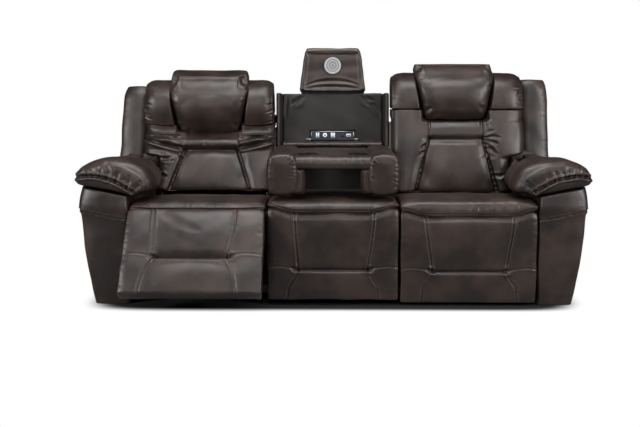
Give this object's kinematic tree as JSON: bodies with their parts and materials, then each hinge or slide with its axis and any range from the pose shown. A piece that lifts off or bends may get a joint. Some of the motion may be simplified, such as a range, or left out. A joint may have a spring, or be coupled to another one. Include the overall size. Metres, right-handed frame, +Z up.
{
  "type": "reclining sofa",
  "caption": "Three-seat leather power reclining sofa whose middle back folds down into a console table, with a raised lamp flap, an outlet strip and tilting headrests.",
  "frame": {"origin": "on the floor under the middle of the sofa's bounding box, as it stands", "axes": "+X to the right seen from the front, +Y to the back, +Z up"},
  "size_m": [2.264, 1.1897, 1.1601],
  "materials": {
    "leather": "semi-gloss, pebbled",
    "timber": "sawn",
    "dark_steel": "satin",
    "bright_steel": "zinc plated",
    "black_plastic": "fine texture",
    "socket_plastic": "moulded",
    "lamp_metal": "satin",
    "lamp_diffuser": "frosted"
  },
  "bodies": {
    "base": {"timber_frames": "timber", "base_rails": "dark_steel", "floor_glides": "black_plastic", "seat_springs": "bright_steel", "mechanism_plates": "dark_steel", "motors_and_supply": "black_plastic", "left_seat_cushion": "leather", "middle_seat_cushion": "leather", "right_seat_cushion": "leather", "middle_front_pad": "leather", "left_arm_cover": "leather", "left_arm_pad": "leather", "right_arm_cover": "leather", "right_arm_pad": "leather", "switch_plates": "black_plastic", "surround_frame": "timber", "surround_cover": "leather", "rear_panels": "leather", "outlet_strip": "socket_plastic", "fixed_hinges": "bright_steel"},
    "console": {"console_cushion": "leather", "console_board": "timber", "cup_holders": "bright_steel", "console_hinge_arms": "bright_steel"},
    "flap": {"lamp_flap": "leather", "lamp_bezel": "lamp_metal"},
    "lens": {"lamp_lens": "lamp_diffuser"},
    "left_back": {"left_back_frame": "timber", "left_back_cushion": "leather", "left_fold_roll": "leather", "left_back_cover": "leather"},
    "left_headrest": {"left_head_frame": "bright_steel", "left_head_cushion": "leather", "left_head_pillow": "leather"},
    "left_swing": {"left_swing_links": "dark_steel"},
    "left_partner": {"left_partner_links": "dark_steel"},
    "left_mid": {"left_mid_links": "dark_steel"},
    "left_control": {"left_control_links": "dark_steel"},
    "left_footrest": {"left_footrest_frame": "timber", "left_footrest_pad": "leather"},
    "left_drive": {"left_drive_rod": "dark_steel"},
    "left_recline_switch": {"left_recline_switch": "black_plastic"},
    "left_headrest_switch": {"left_headrest_switch": "black_plastic"},
    "right_back": {"right_back_frame": "timber", "right_back_cushion": "leather", "right_fold_roll": "leather", "right_back_cover": "leather"},
    "right_headrest": {"right_head_frame": "bright_steel", "right_head_cushion": "leather", "right_head_pillow": "leather"},
    "right_swing": {"right_swing_links": "dark_steel"},
    "right_partner": {"right_partner_links": "dark_steel"},
    "right_mid": {"right_mid_links": "dark_steel"},
    "right_control": {"right_control_links": "dark_steel"},
    "right_footrest": {"right_footrest_frame": "timber", "right_footrest_pad": "leather"},
    "right_drive": {"right_drive_rod": "dark_steel"},
    "right_recline_switch": {"right_recline_switch": "black_plastic"},
    "right_headrest_switch": {"right_headrest_switch": "black_plastic"}
  },
  "joints": [
    {"name": "left_recline", "type": "hinge", "parent": "base", "child": "left_back", "pos_m": [-0.5925, 0.2175, 0.4], "axis": [-1, 0, 0], "range_deg": [-10, 15]},
    {"name": "left_head_tilt", "type": "hinge", "parent": "left_back", "child": "left_headrest", "pos_m": [-0.5925, 0.46521, 0.76249], "axis": [1, 0, 0], "range_deg": [-30, 0], "deforming": ["left_fold_roll"]},
    {"name": "left_swing_pivot", "type": "hinge", "parent": "base", "child": "left_swing", "pos_m": [-0.5925, -0.0825, 0.335], "axis": [-1, 0, 0], "range_deg": [-36, 54]},
    {"name": "left_mid_pivot", "type": "hinge", "parent": "left_swing", "child": "left_mid", "pos_m": [-0.5925, -0.147, 0.11006], "axis": [-1, 0, 0], "range_deg": [-54, 36]},
    {"name": "left_footrest_pivot", "type": "hinge", "parent": "left_mid", "child": "left_footrest", "pos_m": [-0.5925, -0.42199, 0.19798], "axis": [-1, 0, 0], "range_deg": [-36, 54]},
    {"name": "left_partner_pivot", "type": "hinge", "parent": "base", "child": "left_partner", "pos_m": [-0.5925, -0.14918, 0.35632], "axis": [-1, 0, 0], "range_deg": [-36, 54]},
    {"name": "left_control_pivot", "type": "hinge", "parent": "left_swing", "child": "left_control", "pos_m": [-0.5925, -0.13941, 0.15948], "axis": [-1, 0, 0], "range_deg": [-54, 36]},
    {"name": "left_drive_slide", "type": "slide", "parent": "base", "child": "left_drive", "axis": [0, -0.8886, 0.4587], "range_m": [-0.02558, 0.03832]},
    {"name": "left_recline_switch_rock", "type": "hinge", "parent": "base", "child": "left_recline_switch", "pos_m": [-1.107, -0.2015, 0.345], "axis": [0, 0, 1], "range_deg": [-8, 8], "stiffness_Nm_per_rad": 0.2},
    {"name": "left_headrest_switch_rock", "type": "hinge", "parent": "base", "child": "left_headrest_switch", "pos_m": [-1.107, -0.1535, 0.345], "axis": [0, 0, 1], "range_deg": [-8, 8], "stiffness_Nm_per_rad": 0.2},
    {"name": "right_recline", "type": "hinge", "parent": "base", "child": "right_back", "pos_m": [0.5925, 0.2175, 0.4], "axis": [-1, 0, 0], "range_deg": [0, 25]},
    {"name": "right_head_tilt", "type": "hinge", "parent": "right_back", "child": "right_headrest", "pos_m": [0.5925, 0.3985, 0.8], "axis": [1, 0, 0], "range_deg": [0, 30], "deforming": ["right_fold_roll"]},
    {"name": "right_swing_pivot", "type": "hinge", "parent": "base", "child": "right_swing", "pos_m": [0.5925, -0.0825, 0.335], "axis": [-1, 0, 0], "range_deg": [0, 90]},
    {"name": "right_mid_pivot", "type": "hinge", "parent": "right_swing", "child": "right_mid", "pos_m": [0.5925, -0.00247, 0.11511], "axis": [-1, 0, 0], "range_deg": [-90, 0]},
    {"name": "right_footrest_pivot", "type": "hinge", "parent": "right_mid", "child": "right_footrest", "pos_m": [0.5925, -0.27746, 0.20303], "axis": [-1, 0, 0], "range_deg": [0, 90]},
    {"name": "right_partner_pivot", "type": "hinge", "parent": "base", "child": "right_partner", "pos_m": [0.5925, -0.14918, 0.35632], "axis": [-1, 0, 0], "range_deg": [0, 90]},
    {"name": "right_control_pivot", "type": "hinge", "parent": "right_swing", "child": "right_control", "pos_m": [0.5925, -0.02538, 0.15956], "axis": [-1, 0, 0], "range_deg": [-90, 0]},
    {"name": "right_drive_slide", "type": "slide", "parent": "base", "child": "right_drive", "axis": [0, -0.8886, 0.4587], "range_m": [0, 0.0638]},
    {"name": "right_recline_switch_rock", "type": "hinge", "parent": "base", "child": "right_recline_switch", "pos_m": [1.107, -0.2015, 0.345], "axis": [0, 0, 1], "range_deg": [-8, 8], "stiffness_Nm_per_rad": 0.2},
    {"name": "right_headrest_switch_rock", "type": "hinge", "parent": "base", "child": "right_headrest_switch", "pos_m": [1.107, -0.1535, 0.345], "axis": [0, 0, 1], "range_deg": [-8, 8], "stiffness_Nm_per_rad": 0.2},
    {"name": "console_fold", "type": "hinge", "parent": "base", "child": "console", "pos_m": [0, 0.1925, 0.5], "axis": [-1, 0, 0], "range_deg": [0, 95]},
    {"name": "flap_fold", "type": "hinge", "parent": "base", "child": "flap", "pos_m": [0, 0.44777, 0.93316], "axis": [1, 0, 0], "range_deg": [0, 176]},
    {"name": "lens_press", "type": "slide", "parent": "flap", "child": "lens", "axis": [0, 0.9962, -0.0872], "range_m": [0, 0.0025], "stiffness_N_per_m": 400, "springref_m": -0.002}
  ],
  "couplings": [
    {"joint": "left_swing_pivot", "follows": "left_recline", "ratio": 3.6},
    {"joint": "left_mid_pivot", "follows": "left_recline", "ratio": -3.6},
    {"joint": "left_footrest_pivot", "follows": "left_recline", "ratio": 3.6},
    {"joint": "left_partner_pivot", "follows": "left_recline", "ratio": 3.6},
    {"joint": "left_control_pivot", "follows": "left_recline", "ratio": -3.6},
    {"joint": "left_drive_slide", "follows": "left_recline", "m_per_rad": 0.14599},
    {"joint": "right_swing_pivot", "follows": "right_recline", "ratio": 3.6},
    {"joint": "right_mid_pivot", "follows": "right_recline", "ratio": -3.6},
    {"joint": "right_footrest_pivot", "follows": "right_recline", "ratio": 3.6},
    {"joint": "right_partner_pivot", "follows": "right_recline", "ratio": 3.6},
    {"joint": "right_control_pivot", "follows": "right_recline", "ratio": -3.6},
    {"joint": "right_drive_slide", "follows": "right_recline", "m_per_rad": 0.14599}
  ]
}
